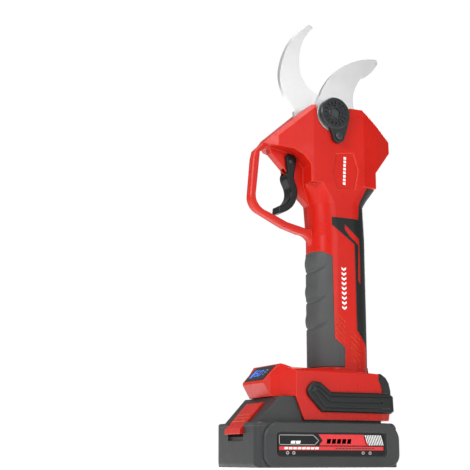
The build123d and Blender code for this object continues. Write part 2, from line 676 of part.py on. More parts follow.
# ---------------------------------------------------------------- gear case and motor
def gear_case():
    body = post(0, 0, -67.0, -41.0, CASE_R)
    top = post(0, 0, -41.0, -29.6, 15.0) & block(-20, 20, -14.05, 14.05, -60, 0)
    body = body + top
    for low, high, r in ((-67.5, -45.5, RING_OUT + 0.02), (-45.6, -41.8, 12.4), (-42, -40.2, 6.5),
                         (-40.3, -30.2, BEARING_R), (-31, -29, 6.2)):
        body = body - post(0, 0, low, high, r)
    for along in (-6.0, 6.0):
        body = body - cross_rod(along, -35.2, -17, -10.4, 1.5) - cross_rod(along, -35.2, 10.4, 17, 1.5)
    return drive_frame(body)


def bearing(depth_top):
    bore = post(0, 0, -depth_top - 6, -depth_top + 1, PIVOT_R + RUN)
    ring = post(0, 0, -depth_top - 5, -depth_top, BEARING_R) - bore
    inner_race = post(0, 0, -depth_top - 1, -depth_top + 1, 5.2)
    groove = post(0, 0, -depth_top - 0.5, -depth_top + 1, 6.9) - inner_race
    return drive_frame(ring - groove)


def motor_can():
    nose = post(0, 0, -69.0, -64.2, RING_OUT)
    can = post(0, 0, -112.0, -67.0, MOTOR_R) + nose
    can = can - post(0, 0, -113, -69, 13.1) - post(0, 0, -70, -60, SHAFT_R + RUN)
    for k in range(6):
        can = can - Rot(0, 0, 60 * k) * Pos(MOTOR_R, 0, -73.5) * Box(5, 4.5, 3)
    return drive_frame(can)


def stator():
    core = post(0, 0, -102.0, -78.0, 13.05) - post(0, 0, -103, -77, 8.6)
    for k in range(6):
        core = core - Rot(0, 0, 60 * k) * Pos(10, 0, -90) * Box(3.2, 3.0, 26)
    return drive_frame(core)


def windings():
    """Six copper coils in the stator's slots."""
    return [drive_frame(Rot(0, 0, 60 * k) * Pos(10, 0, -90) * Box(2.6, 2.8, 33)) for k in range(6)]


def motor_rotor():
    shaft = post(0, 0, -115.0, -57.0, SHAFT_R)
    drum = post(0, 0, -104.0, -76.0, 8.1)
    return drive_frame(shaft + drum + sun_gear(57.0))


def motor_end_plate():
    disc = post(0, 0, -114.6, -112.1, MOTOR_R) - post(0, 0, -116, -111, SHAFT_R + RUN)
    for k in range(4):
        disc = disc - Rot(0, 0, 90 * k) * post(9, 0, -116, -111, 2.2)
    return drive_frame(disc)


def first_carrier():
    sun = sun_gear(45.6) + post(0, 0, -54.2, -51.5, 2.6)
    return drive_frame(sun + carrier(54.0, 56.4, 0))


def output_carrier():
    return drive_frame(carrier(42.4, 45.0, PIVOT_R))


# ---------------------------------------------------------------- trigger
def trigger():
    """Black S-shaped lever, hollow behind so that its cheeks straddle the web."""
    half = TRIGGER_HALF
    front = Spline((-17.4, -half, 231.3), (-18.2, -half, 225.7), (-15.3, -half, 218.6), (-15, -half, 211.9),
                   (-18.6, -half, 205.8), (-24.9, -half, 202.5))
    back = Spline((-25.6, -half, 196.6), (-17.2, -half, 199.5), (-11.2, -half, 205.5), (-8.8, -half, 212.5),
                  (-9.1, -half, 219.1), (-11.2, -half, 225.6), (-11, -half, 230.1))
    crown = Polyline(back @ 1, (-8.8, -half, 243), (-15.6, -half, 246.2), (-19, -half, 243.8), front @ 0)
    edges = [front, Line(front @ 1, back @ 0), back, *crown.edges()]
    lever = extrude(make_face(edges), amount=2 * half, dir=(0, 1, 0))
    rim = [e for e in lever.edges() if abs(abs(e.center().Y) - half) < 0.01]
    lever = fillet(rim, 1.0)
    room = [(-45, 229), (-45, 252), (0, 252), (0, 207.5), (-12.4, 207.5), (-13.3, 211.5), (-13.6, 219),
            (-16.5, 226), (-16.1, 229)]
    lever = lever - plate(room, -TRIGGER_GAP, TRIGGER_GAP)
    return lever - cross_rod(TRIGGER_X, TRIGGER_Z, -12, 12, TRIGGER_PIN_R + RUN)


def trigger_pin():
    return cross_rod(TRIGGER_X, TRIGGER_Z, -TRIGGER_HALF + 0.3, TRIGGER_HALF - 0.3, TRIGGER_PIN_R)


def spring_room():
    """Slot in the web that the trigger's return spring sits in."""
    slot = plate([(-24, 222), (-19.4, 234), (-19.4, 244.4), (-9.6, 244.4), (-9.6, 222)], -2.9, 2.9)
    return slot


def trigger_spring():
    """Wound round the trigger pin, with a leg along the lever's front wall and a leg in the web."""
    wire = 0.4
    coil_r = 2.9
    turns = 4
    pitch = 1.0
    path = Helix(pitch=pitch, height=turns * pitch, radius=coil_r)
    coil = sweep(Plane(origin=path @ 0, z_dir=path % 0) * Circle(wire), path=path)
    coil = Pos(TRIGGER_X, turns * pitch / 2, TRIGGER_Z) * Rot(90, 0, 0) * coil
    lean = Rot(0, -10.5, 0) * Cylinder(wire, 11)
    leg = Pos(TRIGGER_X - coil_r + 1.1, -turns * pitch / 2, TRIGGER_Z - 5.4) * lean
    tail = Pos(TRIGGER_X + coil_r, turns * pitch / 2, TRIGGER_Z - 3) * Cylinder(wire, 6)
    return joined([coil, leg, tail])


def trigger_sensor():
    """Small board over the trigger that senses its magnet."""
    return block(-16.8, -3, -4.5, 4.5, 253.0, 254.2) + block(-13, -9, -2, 2, 254.1, 255.2)


# ---------------------------------------------------------------- foot electronics
def display_window():
    glass = display_frame(Pos(0, 0, -0.6) * Box(15.4, 34.0, 1.6))
    upright = [e for e in glass.edges() if e.length < 2]
    return fillet(upright, 2.4)


def display_board():
    board = Pos(0, 0, -3.6) * Box(12, 30, 1.2) + Pos(0, 0, -2.5) * Box(10.5, 26, 1.5)
    return display_frame(board)


def power_button():
    cap = post(BUTTON_X, 0, 70.6, FOOT_TOP_Z + 1.7, BUTTON_R)
    cap = chamfer([e for e in cap.edges() if e.center().Z > FOOT_TOP_Z + 1.6], 0.4)
    return cap + post(BUTTON_X, 0, 69.4, 70.8, BUTTON_R + 1.0)


def controller_board():
    """Upright motor controller in the handle, with its capacitors and transistors."""
    board = block(13, 42, -0.8, 0.8, 90, 150)
    for z in (98, 109):
        board = board + cross_rod(34, z, 0.5, 11.5, 4.4)
    for k in range(6):
        board = board + block(15 + 4.3 * k, 18 + 4.3 * k, -3.2, 0, 138, 146)
    return board + block(17, 27, 0.5, 2.6, 104, 116) + block(16, 36, -2.4, 0, 95, 101)


def wiring():
    """Two power leads from the terminal block and three motor leads, each whole."""
    leads = []
    for side in (-1, 1):
        route = FilletPolyline((52.8, side * 8, 51), (52.8, side * 8, 57.5), (42, side * 7, 60),
                               (38, side * 5.5, 76),
                               (31, side * 4.5, 90), radius=3)
        leads.append(sweep(Plane(origin=route @ 0, z_dir=route % 0) * Circle(1.5), path=route))
    for k in range(3):
        x = 20 + 6 * k
        route = FilletPolyline((x, -2.6, 146.2), (x, -4.2, 153), (x + 1.5, -6.6, 160.5), radius=5)
        leads.append(sweep(Plane(origin=route @ 0, z_dir=route % 0) * Circle(1.0), path=route))
    return leads


def terminal_block():
    """Block in the rear of the foot, with four blades that plug into the pack."""
    body = block(51.2, 54.4, -22, 22, 39.5, 51.0)
    for y in TERMINAL_Y:
        body = body + block(41, 51.5, y - 0.45, y + 0.45, 41.5, 48.5)
    return body


def housing_screws():
    """Shell screws, driven from the right."""
    screws = []
    for x, z, seat in SHELL_SCREWS:
        head = cross_rod(x, z, seat, seat + 2.2, 2.7)
        head = head - cross_rod(x, z, seat + 1.0, seat + 3, 1.2)
        screws.append(head + cross_rod(x, z, seat - 16.5, seat + 0.5, 1.25))
    return screws


# ---------------------------------------------------------------- battery pack
def latch_profile(gap, drop):
    """Side outline of the latch, made larger by gap and reaching down by drop."""
    low = 24.6 - gap - drop
    return [(-44.4 + gap, 48.0 + gap), (-61.0, 29.9 + 2 * gap), (-62.9 - gap, 28.4 + gap), (-62.9 - gap, low),
            (-58.4 + gap, low), (-58.4 + gap, low + 2.8), (-41.4 + gap, low + 21.3),
            (-41.4 + gap, 48.0 + gap)]


def latch_pocket():
    wide = LATCH_HALF + 0.35
    room = plate(latch_profile(0.35, LATCH_TRAVEL), -wide, wide)
    return room + plate([(-66, 20), (-58.2, 20), (-58.2, 27), (-41, 46), (-41, 60), (-66, 60)], -wide, wide)


def pack_hull(z_low, z_high):
    """A layer of the pack's outer shape, rounded in plan, along its lower ends and at its rear top."""
    end = PACK_L / 2
    low = PACK_LOW_ROUND
    top = PACK_REAR_ROUND
    inward = 1 - sqrt(0.5)
    steps = [(-end, low), ((low * inward - end, low * inward), (low - end, 0)), (end - low, 0),
             ((end - low * inward, low * inward), (end, low)), (end, PACK_H - top),
             ((end - top * inward, PACK_H - top * inward), (end - top, PACK_H))]
    side = curved((-end, PACK_H), steps, -CASE_HALF, CASE_HALF)
    over = extrude(RectangleRounded(PACK_L, 2 * CASE_HALF, 6.0), amount=PACK_H)
    return side & over & block(-end, end, -CASE_HALF, CASE_HALF, z_low, z_high)


def battery_case():
    """Tub of the pack with rounded upright corners."""
    body = pack_hull(0, LID_Z)
    body = body - block(-54.4, 54.4, -35.3, 35.3, 2.4, 31)
    body = body - latch_pocket()
    for x, y in PACK_SCREWS:
        body = body - post(x, y, -1, 31, 1.1) - post(x, y, -1, 2.2, 2.0)
    return body


def battery_lid():
    """Lid with the rail tower that slides into the foot."""
    body = pack_hull(LID_Z, PACK_H)
    front_edges = [e for e in body.edges() if e.center().Z > PACK_H - 0.01 and e.center().X < -54]
    body = chamfer(front_edges, 1.0)
    front = plate([(-55.6, 32), (-55.6, 33), (-38.1, TOWER_Z), (-19.4, TOWER_Z), (-19.4, 32)], -30.6, 30.6)
    rear = block(-20, 50, -28, 28, 32, TOWER_Z)
    rail_room = [block(-19.4, 51, s * 28 - 2.4, s * 28 + 2.4, 38.0, 42.0) for s in (-1, 1)]
    body = body + front + (rear - joined(rail_room))
    body = body - block(-33, 46, -24.5, 24.5, 29, 49.6) + block(-54.2, -45.4, -7, 7, 26, 31)
    body = body - latch_pocket() - post(SPRING_X, 0, SPRING_LOW, 45, SPRING_R + 0.8)
    for y in TERMINAL_Y:
        body = body - block(40, 52, y - 1.2, y + 1.2, 40.5, 49.5)
    for x, y in PACK_SCREWS:
        body = body - post(x, y, LID_Z - 1, SCREW_TOP, 1.1)
    return body


def bezel(side):
    """Raised frame on the side of the pack, with a recess for the label."""
    body = block(-55.0, 58.9, CASE_HALF, BEZEL_HALF, 0.2, PACK_H)
    ends = [e for e in body.edges() if abs(e.length - (BEZEL_HALF - CASE_HALF)) < 0.01]
    body = fillet([e for e in ends if e.center().Z < PACK_H / 2], 9.5)
    ends = [e for e in body.edges() if abs(e.length - (BEZEL_HALF - CASE_HALF)) < 0.01]
    body = fillet([e for e in ends if e.center().Z > PACK_H - 0.01], 13.0)
    outer = body.faces().sort_by(Axis.Y)[-1]
    body = chamfer(outer.edges(), 0.9)
    recess = block(-45.0, 47.4, CASE_HALF + 1.0, BEZEL_HALF + 1, 7.7, 26.2)
    recess = fillet([e for e in recess.edges() if abs(e.length - (BEZEL_HALF - CASE_HALF)) < 0.01], 3.0)
    body = body - recess
    return body if side > 0 else mirror(body, about=Plane.XZ)


def label(side):
    y = side * (CASE_HALF + 1.25)
    card = block(-43.8, 46.2, y - 0.25, y + 0.25, 8.8, 25.1)
    return fillet([e for e in card.edges() if abs(e.length - 0.5) < 0.01], 2.4)


def cells():
    return [cross_rod(CELL_PITCH * (k - 2), 13.4, -CELL_L / 2, CELL_L / 2, CELL_R) for k in range(5)]


def cell_holder():
    """Two racks that space the cells."""
    racks = []
    for y in (-25, 21):
        rack = block(-54.2, 54.2, y, y + 4, 2.5, 25.4)
        for k in range(5):
            rack = rack - cross_rod(CELL_PITCH * (k - 2), 13.4, y - 1, y + 5, CELL_R)
        racks.append(rack)
    return racks


def cell_strips():
    """Nickel strips welded across the ends of the cells."""
    strips = []
    for side in (-1, 1):
        for k in range(2):
            x = CELL_PITCH * (2 * k - (2 if side < 0 else 1))
            y = side * (CELL_L / 2 + 0.1)
            strips.append(block(x - 4, x + CELL_PITCH + 4, y - 0.1, y + 0.1, 10, 17))
    return strips


def protection_board():
    board = block(-44, 40, -22, 22, 26.4, 28.0)
    for k in range(4):
        board = board + block(-36 + 9 * k, -30 + 9 * k, -12, -6, 27.9, 29.8)
    return board + block(-20, 6, 2, 14, 27.9, 29.6)


def pack_contacts():
    """Spring clips that grip the terminal blades."""
    clips = []
    for y in TERMINAL_Y:
        jaws = block(40.8, 45.8, y - 1.15, y + 1.15, 41.2, 48.8)
        back = block(40.2, 41.0, y - 1.15, y + 1.15, 41.2, 48.8)
        clips.append(jaws + back - block(41, 47, y - 0.5, y + 0.5, 40, 50))
    return clips


def pack_screws():
    return [post(x, y, 0.8, 2.2, 1.95) + post(x, y, 2, SCREW_TOP - 0.1, 1.1) for x, y in PACK_SCREWS]


def latch():
    """Red slanting latch with three finger ribs, pressed down to free the pack."""
    body = plate(latch_profile(0.0, 0.0), -LATCH_HALF, LATCH_HALF)
    for k in range(3):
        along = 0.50 + 0.13 * k
        x = -44.4 - 16.6 * along
        z = 48.0 - 18.1 * along
        rib = Pos(x, 0, z) * Rot(0, -degrees(atan(16.6 / 18.1)), 0) * Box(1.3, 2 * LATCH_HALF - 5, 1.3)
        body = body + rib
    return body - post(SPRING_X, 0, 20, SPRING_TOP, SPRING_R + 0.8)


def latch_spring():
    wire = 0.3
    height = SPRING_TOP - SPRING_LOW - 2 * wire
    path = Helix(pitch=height / 5, height=height, radius=SPRING_R)
    coil = sweep(Plane(origin=path @ 0, z_dir=path % 0) * Circle(wire), path=path)
    return Pos(SPRING_X, 0, SPRING_LOW + wire) * coil


def main():
    os.makedirs("parts", exist_ok=True)
    grips = grip_pad()
    backs = back_pad()
    heels = heel_pad()
    bumpers = [bumper(-1), bumper(1)]
    shells = housing([grips, backs, heels] + bumpers)
    backs = backs - screw_bores()
    heels = heels - screw_bores()
    save("housing_left", left(shells))
    save("housing_right", right(shells))
    save("grip_pad_left", left(grips))
    save("grip_pad_right", right(grips))
    save("back_pad_left", left(backs))
    save("back_pad_right", right(backs))
    save("heel_pad", heels)
    save("bumper_left", bumpers[0])
    save("bumper_right", bumpers[1])

    named = {
        "hook_blade": hook_blade(),
        "cutting_blade": cutting_blade(),
        "gear_dowels": gear_dowels(),
        "lock_plate": lock_plate(),
        "lock_screw": lock_screw(),
        "pivot_bolt": pivot_bolt(),
        "pivot_nut": pivot_nut(),
        "cheek_left": cheek_left(),
        "cheek_right": cheek_right(),
        "sector_gear": sector_gear(),
        "bevel_pinion": bevel_pinion(),
        "output_carrier": output_carrier(),
        "first_carrier": first_carrier(),
        "ring_gear": ring_gear(),
        "gear_case": gear_case(),
        "motor_can": motor_can(),
        "stator": stator(),
        "motor_rotor": motor_rotor(),
        "motor_end_plate": motor_end_plate(),
        "trigger": trigger(),
        "trigger_pin": trigger_pin(),
        "trigger_spring": trigger_spring(),
        "trigger_sensor": trigger_sensor(),
        "display_window": display_window(),
        "display_board": display_board(),
        "power_button": power_button(),
        "controller_board": controller_board(),
        "terminal_block": terminal_block(),
        "battery_case": battery_case(),
        "battery_lid": battery_lid(),
        "protection_board": protection_board(),
        "battery_latch": latch(),
        "latch_spring": latch_spring(),
    }
    for node, shape in named.items():
        save(node, shape)
    for k, letter in enumerate("abc"):
        save(f"second_planet_{letter}", planet(45.6, 120 * k))
        save(f"first_planet_{letter}", planet(57.0, 120 * k))

    groups = {
        "head_screws": head_screws(),
        "pinion_bearings": [bearing(30.2), bearing(35.2)],
        "windings": windings(),
        "wiring": wiring(),
        "housing_screws": housing_screws(),
        "battery_bezels": [bezel(-1), bezel(1)],
        "battery_labels": [label(-1), label(1)],
        "battery_cells": cells(),
        "cell_holder": cell_holder(),
        "cell_strips": cell_strips(),
        "pack_contacts": pack_contacts(),
        "battery_screws": pack_screws(),
    }
    for node, shapes in groups.items():
        save(node, Compound(children=[s for shape in shapes for s in shape.solids()]))


main()
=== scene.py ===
import bpy
import bmesh
from math import cos, exp, pi, radians, sin
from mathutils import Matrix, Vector, noise
from mathutils.bvhtree import BVHTree


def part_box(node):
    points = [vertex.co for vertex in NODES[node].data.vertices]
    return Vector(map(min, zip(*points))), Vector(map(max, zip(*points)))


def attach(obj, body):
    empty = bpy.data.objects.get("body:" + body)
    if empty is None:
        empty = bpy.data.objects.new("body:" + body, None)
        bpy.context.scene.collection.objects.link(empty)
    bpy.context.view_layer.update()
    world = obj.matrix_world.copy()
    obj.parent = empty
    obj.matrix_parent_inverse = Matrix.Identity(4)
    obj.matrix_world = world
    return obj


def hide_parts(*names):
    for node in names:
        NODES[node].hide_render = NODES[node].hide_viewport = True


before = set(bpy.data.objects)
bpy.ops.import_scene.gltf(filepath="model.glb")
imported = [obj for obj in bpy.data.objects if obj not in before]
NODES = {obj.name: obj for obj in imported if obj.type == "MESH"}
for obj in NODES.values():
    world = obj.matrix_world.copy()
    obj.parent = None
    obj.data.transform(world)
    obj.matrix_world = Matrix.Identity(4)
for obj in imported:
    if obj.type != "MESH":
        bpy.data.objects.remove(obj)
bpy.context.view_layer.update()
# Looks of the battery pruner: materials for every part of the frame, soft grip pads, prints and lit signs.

MM = 0.001

# ---------------------------------------------------------------- places, from the frame
LABEL_LOW, LABEL_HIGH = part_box("battery_labels")
WINDOW_LOW, WINDOW_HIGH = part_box("display_window")
PAD_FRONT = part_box("grip_pad_left")[0][0] / MM


# ---------------------------------------------------------------- material kit
BEVEL_SAMPLES = 6
FLAT_DOT, HIGHLIGHT_DOT = 0.998, 0.90       # rounded normal against true normal: flat face, edge under the full painted highlight
EDGE_HIGHLIGHT_SHARE = 0.55                      # how far the painted highlight colour takes over on a rounded edge
SOCKET_NAMES = {"specular_level": "Specular IOR Level", "emission_strength": "Emission Strength",
                "emission_color": "Emission Color", "metallic": "Metallic"}


class Nodes:
    """A material's node tree with short calls to add and link its nodes."""

    def __init__(self, name):
        self.material = bpy.data.materials.new(name)
        self.material.use_nodes = True
        self.tree = self.material.node_tree
        self.shader = self.tree.nodes["Principled BSDF"]
        self.place = self.add("ShaderNodeTexCoord").outputs["Object"]

    def add(self, kind, **values):
        node = self.tree.nodes.new(kind)
        for key, value in values.items():
            setattr(node, key, value)
        return node

    def link(self, source, target):
        self.tree.links.new(source, target)

    def noise(self, scale, detail=4.0, roughness=0.55, stretch=None):
        tex = self.add("ShaderNodeTexNoise")
        tex.inputs["Scale"].default_value = scale
        tex.inputs["Detail"].default_value = detail
        tex.inputs["Roughness"].default_value = roughness
        source = self.place
        if stretch is not None:
            mapping = self.add("ShaderNodeMapping")
            mapping.inputs["Scale"].default_value = stretch
            self.link(self.place, mapping.inputs["Vector"])
            source = mapping.outputs["Vector"]
        self.link(source, tex.inputs["Vector"])
        return tex.outputs["Fac"]

    def voronoi(self, scale, feature="F1"):
        tex = self.add("ShaderNodeTexVoronoi", feature=feature)
        tex.inputs["Scale"].default_value = scale
        self.link(self.place, tex.inputs["Vector"])
        return tex.outputs["Distance"]

    def ramp(self, source, low, high, a, b):
        """A value that runs from a to b while source runs from low to high."""
        node = self.add("ShaderNodeMapRange")
        node.inputs["From Min"].default_value = low
        node.inputs["From Max"].default_value = high
        node.inputs["To Min"].default_value = a
        node.inputs["To Max"].default_value = b
        self.link(source, node.inputs["Value"])
        return node.outputs["Result"]

    def math(self, operation, a, b):
        node = self.add("ShaderNodeMath", operation=operation)
        for slot, value in enumerate((a, b)):
            if isinstance(value, (int, float)):
                node.inputs[slot].default_value = value
            else:
                self.link(value, node.inputs[slot])
        return node.outputs["Value"]

    def mix(self, factor, a, b):
        """Colour a where factor is 0, colour b where it is 1."""
        node = self.add("ShaderNodeMix", data_type="RGBA")
        self.link(factor, node.inputs["Factor"])
        for key, value in (("A", a), ("B", b)):
            socket = [s for s in node.inputs if s.name == key and s.type == "RGBA"][0]
            if isinstance(value, tuple):
                socket.default_value = (*value, 1.0)
            else:
                self.link(value, socket)
        return [s for s in node.outputs if s.type == "RGBA"][0]

    def painted_edge_highlight(self, radius):
        """1 on rounded outer edges, where the painted highlight goes, 0 on flat faces: how far the rounded
        normal leaves the true one.
        """
        bevel = self.add("ShaderNodeBevel", samples=BEVEL_SAMPLES)
        bevel.inputs["Radius"].default_value = radius
        geometry = self.add("ShaderNodeNewGeometry")
        dot = self.add("ShaderNodeVectorMath", operation="DOT_PRODUCT")
        self.link(bevel.outputs["Normal"], dot.inputs[0])
        self.link(geometry.outputs["Normal"], dot.inputs[1])
        return self.ramp(dot.outputs["Value"], FLAT_DOT, HIGHLIGHT_DOT, 0.0, 1.0)

    def bump(self, height, distance, strength=1.0, soft_edge=0.0):
        node = self.add("ShaderNodeBump")
        node.inputs["Strength"].default_value = strength
        node.inputs["Distance"].default_value = distance
        self.link(height, node.inputs["Height"])
        if soft_edge > 0:
            bevel = self.add("ShaderNodeBevel", samples=BEVEL_SAMPLES)
            bevel.inputs["Radius"].default_value = soft_edge
            self.link(bevel.outputs["Normal"], node.inputs["Normal"])
        self.link(node.outputs["Normal"], self.shader.inputs["Normal"])

    def set(self, **values):
        for key, value in values.items():
            self.shader.inputs[SOCKET_NAMES[key]].default_value = value

    def colour(self, source):
        self.link(source, self.shader.inputs["Base Color"])

    def roughness(self, source):
        self.link(source, self.shader.inputs["Roughness"])

    def cloudy_roughness(self, scale, low, high):
        """Roughness that drifts between low and high in clouds of the given scale."""
        self.roughness(self.ramp(self.noise(scale), 0.3, 0.7, low, high))


def moulded(name, base, dark, rough, grain=1900.0, grain_depth=0.00002, edge=0.0005, edge_highlight_colour=None,
            specular=0.5):
    """Moulded plastic or rubber: cloudy colour, grain, rubbed patches, edges that catch the light, and a
    painted highlight colour on rounded edges when one is given.
    """
    m = Nodes(name)
    cloud = m.noise(22.0, 5.0)
    colour = m.mix(m.ramp(cloud, 0.35, 0.68, 0.0, 1.0), dark, base)
    specks = m.noise(420.0, 2.0)
    colour = m.mix(m.ramp(specks, 0.62, 0.80, 0.0, 0.35), colour, dark)
    if edge_highlight_colour is not None:
        # painted highlight: a lighter colour laid on rounded edges, where light would catch them
        colour = m.mix(m.math("MULTIPLY", m.painted_edge_highlight(edge), EDGE_HIGHLIGHT_SHARE), colour, edge_highlight_colour)
    m.colour(colour)
    rubbed = m.noise(60.0, 6.0, 0.7)
    m.roughness(m.ramp(rubbed, 0.30, 0.70, rough - 0.06, rough + 0.09))
    m.bump(m.noise(grain, 2.0), grain_depth, soft_edge=edge)
    m.set(specular_level=specular)
    return m.material


def metal(name, colour, dull, rough, brush=None, scratches=0.25, edge=0.0003, grain_depth=0.000012):
    """Machined or ground metal with its grain, faint scratches and dulled patches."""
    m = Nodes(name)
    patches = m.noise(55.0, 6.0, 0.6)
    m.colour(m.mix(m.ramp(patches, 0.38, 0.66, 0.0, 1.0), dull, colour))
    stretch = brush if brush is not None else (1.0, 1.0, 1.0)
    grain = m.noise(900.0, 3.0, 0.6, stretch=stretch)
    scratch = m.noise(260.0, 1.0, 0.4, stretch=(0.08, 1.0, 1.0))
    thin = m.ramp(scratch, 0.66, 0.72, 0.0, 1.0)
    wobble = m.ramp(grain, 0.3, 0.7, rough - 0.04, rough + 0.05)
    m.roughness(m.math("ADD", wobble, m.math("MULTIPLY", thin, 0.12)))
    m.bump(m.math("ADD", grain, m.math("MULTIPLY", thin, -scratches)), grain_depth, soft_edge=edge)
    m.set(metallic=1.0)
    return m.material


def circuit(name):
    """Green solder mask with a hint of the tracks under it."""
    m = Nodes(name)
    cells = m.voronoi(700.0, "DISTANCE_TO_EDGE")
    tracks = m.ramp(cells, 0.02, 0.06, 1.0, 0.0)
    m.colour(m.mix(tracks, (0.010, 0.085, 0.035), (0.030, 0.17, 0.07)))
    m.cloudy_roughness(300.0, 0.28, 0.42)
    m.bump(tracks, 0.00002)
    return m.material


def wound_copper(name):
    """Enamelled copper wire, wound in even turns, with painted shade darkening the grooves between the
    turns.
    """
    m = Nodes(name)
    wave = m.add("ShaderNodeTexWave", bands_direction="Z")
    wave.inputs["Scale"].default_value = 420.0
    wave.inputs["Distortion"].default_value = 0.4
    m.link(m.place, wave.inputs["Vector"])
    # painted shade: the colour turns dark in the low grooves between the turns
    m.colour(m.mix(m.ramp(wave.outputs["Fac"], 0.2, 0.9, 0.0, 1.0), (0.28, 0.09, 0.03), (0.85, 0.40, 0.18)))
    m.cloudy_roughness(300.0, 0.25, 0.4)
    m.bump(wave.outputs["Fac"], 0.00008)
    m.set(metallic=0.9)
    return m.material


def cell_wrap(name):
    """Blue shrink film of the cells."""
    m = Nodes(name)
    m.colour(m.mix(m.ramp(m.noise(35.0), 0.4, 0.6, 0.0, 1.0), (0.02, 0.16, 0.30), (0.03, 0.22, 0.38)))
    m.cloudy_roughness(120.0, 0.30, 0.45)
    m.bump(m.noise(90.0, 3.0), 0.00005)
    return m.material


def screen_glass(name):
    """Smoked cover of the display: gloss black with faint finger marks."""
    m = Nodes(name)
    smear = m.noise(90.0, 5.0, 0.65)
    m.colour(m.mix(m.ramp(smear, 0.4, 0.7, 0.0, 1.0), (0.006, 0.007, 0.010), (0.014, 0.016, 0.024)))
    m.roughness(m.ramp(smear, 0.35, 0.75, 0.05, 0.20))
    m.bump(m.noise(40.0, 2.0), 0.000004, soft_edge=0.0004)
    m.set(specular_level=0.12)
    return m.material


def ink(name, colour, worn, rough=0.42):
    """Printed ink on a film or on plastic, a little broken up."""
    m = Nodes(name)
    m.colour(m.mix(m.ramp(m.noise(700.0, 3.0), 0.60, 0.72, 0.0, 1.0), colour, worn))
    m.cloudy_roughness(200.0, rough - 0.05, rough + 0.08)
    m.bump(m.noise(1500.0, 2.0), 0.000006)
    return m.material


def glow(name, colour, strength):
    """Lit segment of the display, slightly uneven as a diffused LED is."""
    m = Nodes(name)
    level = m.ramp(m.noise(260.0, 2.0), 0.3, 0.7, 0.75 * strength, 1.15 * strength)
    m.link(level, m.shader.inputs["Emission Strength"])
    m.set(emission_color=(*colour, 1.0))
    m.colour(m.mix(m.ramp(m.noise(260.0), 0.3, 0.7, 0.0, 1.0), colour, tuple(0.8 * c for c in colour)))
    m.cloudy_roughness(400.0, 0.2, 0.3)
    return m.material


# the edge colours given below are painted highlights on rounded edges, lighter than each base colour
RED = moulded("red_shell", (0.49, 0.010, 0.004), (0.44, 0.008, 0.004), 0.30, edge_highlight_colour=(0.86, 0.11, 0.04),
              edge=0.0008, specular=0.22)
RUBBER = moulded("grey_rubber", (0.058, 0.060, 0.061), (0.047, 0.049, 0.050), 0.60, grain=1300.0,
                 grain_depth=0.00005, edge=0.0006, specular=0.35)
DARK_RUBBER = moulded("dark_rubber", (0.008, 0.009, 0.009), (0.005, 0.006, 0.006), 0.40, grain=1300.0,
                      grain_depth=0.00003, edge=0.0006, edge_highlight_colour=(0.050, 0.054, 0.056), specular=0.28)
BLACK = moulded("gloss_black", (0.005, 0.005, 0.006), (0.003, 0.004, 0.004), 0.22, grain=900.0,
                grain_depth=0.000006, edge=0.0007, edge_highlight_colour=(0.030, 0.032, 0.035), specular=0.22)
LOCK_BLACK = moulded("lock_plate_nylon", (0.012, 0.014, 0.015), (0.008, 0.010, 0.011), 0.34, grain=1600.0,
                     grain_depth=0.00001, edge=0.0005, edge_highlight_colour=(0.07, 0.075, 0.08), specular=0.35)
PACK = moulded("pack_plastic", (0.030, 0.031, 0.032), (0.024, 0.025, 0.026), 0.42, grain=2200.0,
               grain_depth=0.00003, edge=0.0007, edge_highlight_colour=(0.095, 0.098, 0.10), specular=0.35)
WHITE_PLASTIC = moulded("white_nylon", (0.62, 0.62, 0.58), (0.52, 0.52, 0.49), 0.5)
CABLE = moulded("cable_jacket", (0.022, 0.022, 0.024), (0.014, 0.014, 0.015), 0.45)
HOOK_STEEL = metal("hook_steel", (0.86, 0.865, 0.86), (0.83, 0.835, 0.83), 0.42, brush=(0.10, 1.0, 1.0),
                   scratches=0.10, grain_depth=0.000004)
CUTTER_STEEL = metal("cutter_steel", (0.84, 0.84, 0.84), (0.79, 0.79, 0.795), 0.38, brush=(1.0, 1.0, 0.12),
                     scratches=0.12, grain_depth=0.000005)
STEEL = metal("machined_steel", (0.56, 0.57, 0.58), (0.46, 0.47, 0.48), 0.33)
DARK_STEEL = metal("oxide_steel", (0.10, 0.105, 0.11), (0.06, 0.064, 0.068), 0.40)
ALUMINIUM = metal("cast_aluminium", (0.86, 0.87, 0.88), (0.77, 0.78, 0.79), 0.32)
NICKEL = metal("nickel", (0.70, 0.69, 0.65), (0.62, 0.60, 0.56), 0.25)
BOARD = circuit("circuit_board")
COPPER = wound_copper("windings")
WRAP = cell_wrap("cell_wrap")
SCREEN = screen_glass("screen_glass")
LABEL_FILM = moulded("label_film", (0.007, 0.007, 0.008), (0.005, 0.005, 0.006), 0.36, grain=2600.0,
                     grain_depth=0.000008, edge=0.0002, specular=0.2)
RED_INK = ink("red_ink", (0.60, 0.012, 0.016), (0.50, 0.012, 0.014))
WHITE_INK = ink("white_ink", (0.80, 0.80, 0.78), (0.66, 0.64, 0.62))
GREY_INK = ink("grey_ink", (0.36, 0.36, 0.36), (0.28, 0.28, 0.28))
BLACK_INK = ink("black_ink", (0.020, 0.016, 0.016), (0.05, 0.03, 0.03))
BLUE_GLOW = glow("blue_segments", (0.06, 0.20, 1.0), 0.95)
WHITE_GLOW = glow("pale_segments", (0.20, 0.32, 0.80), 0.45)

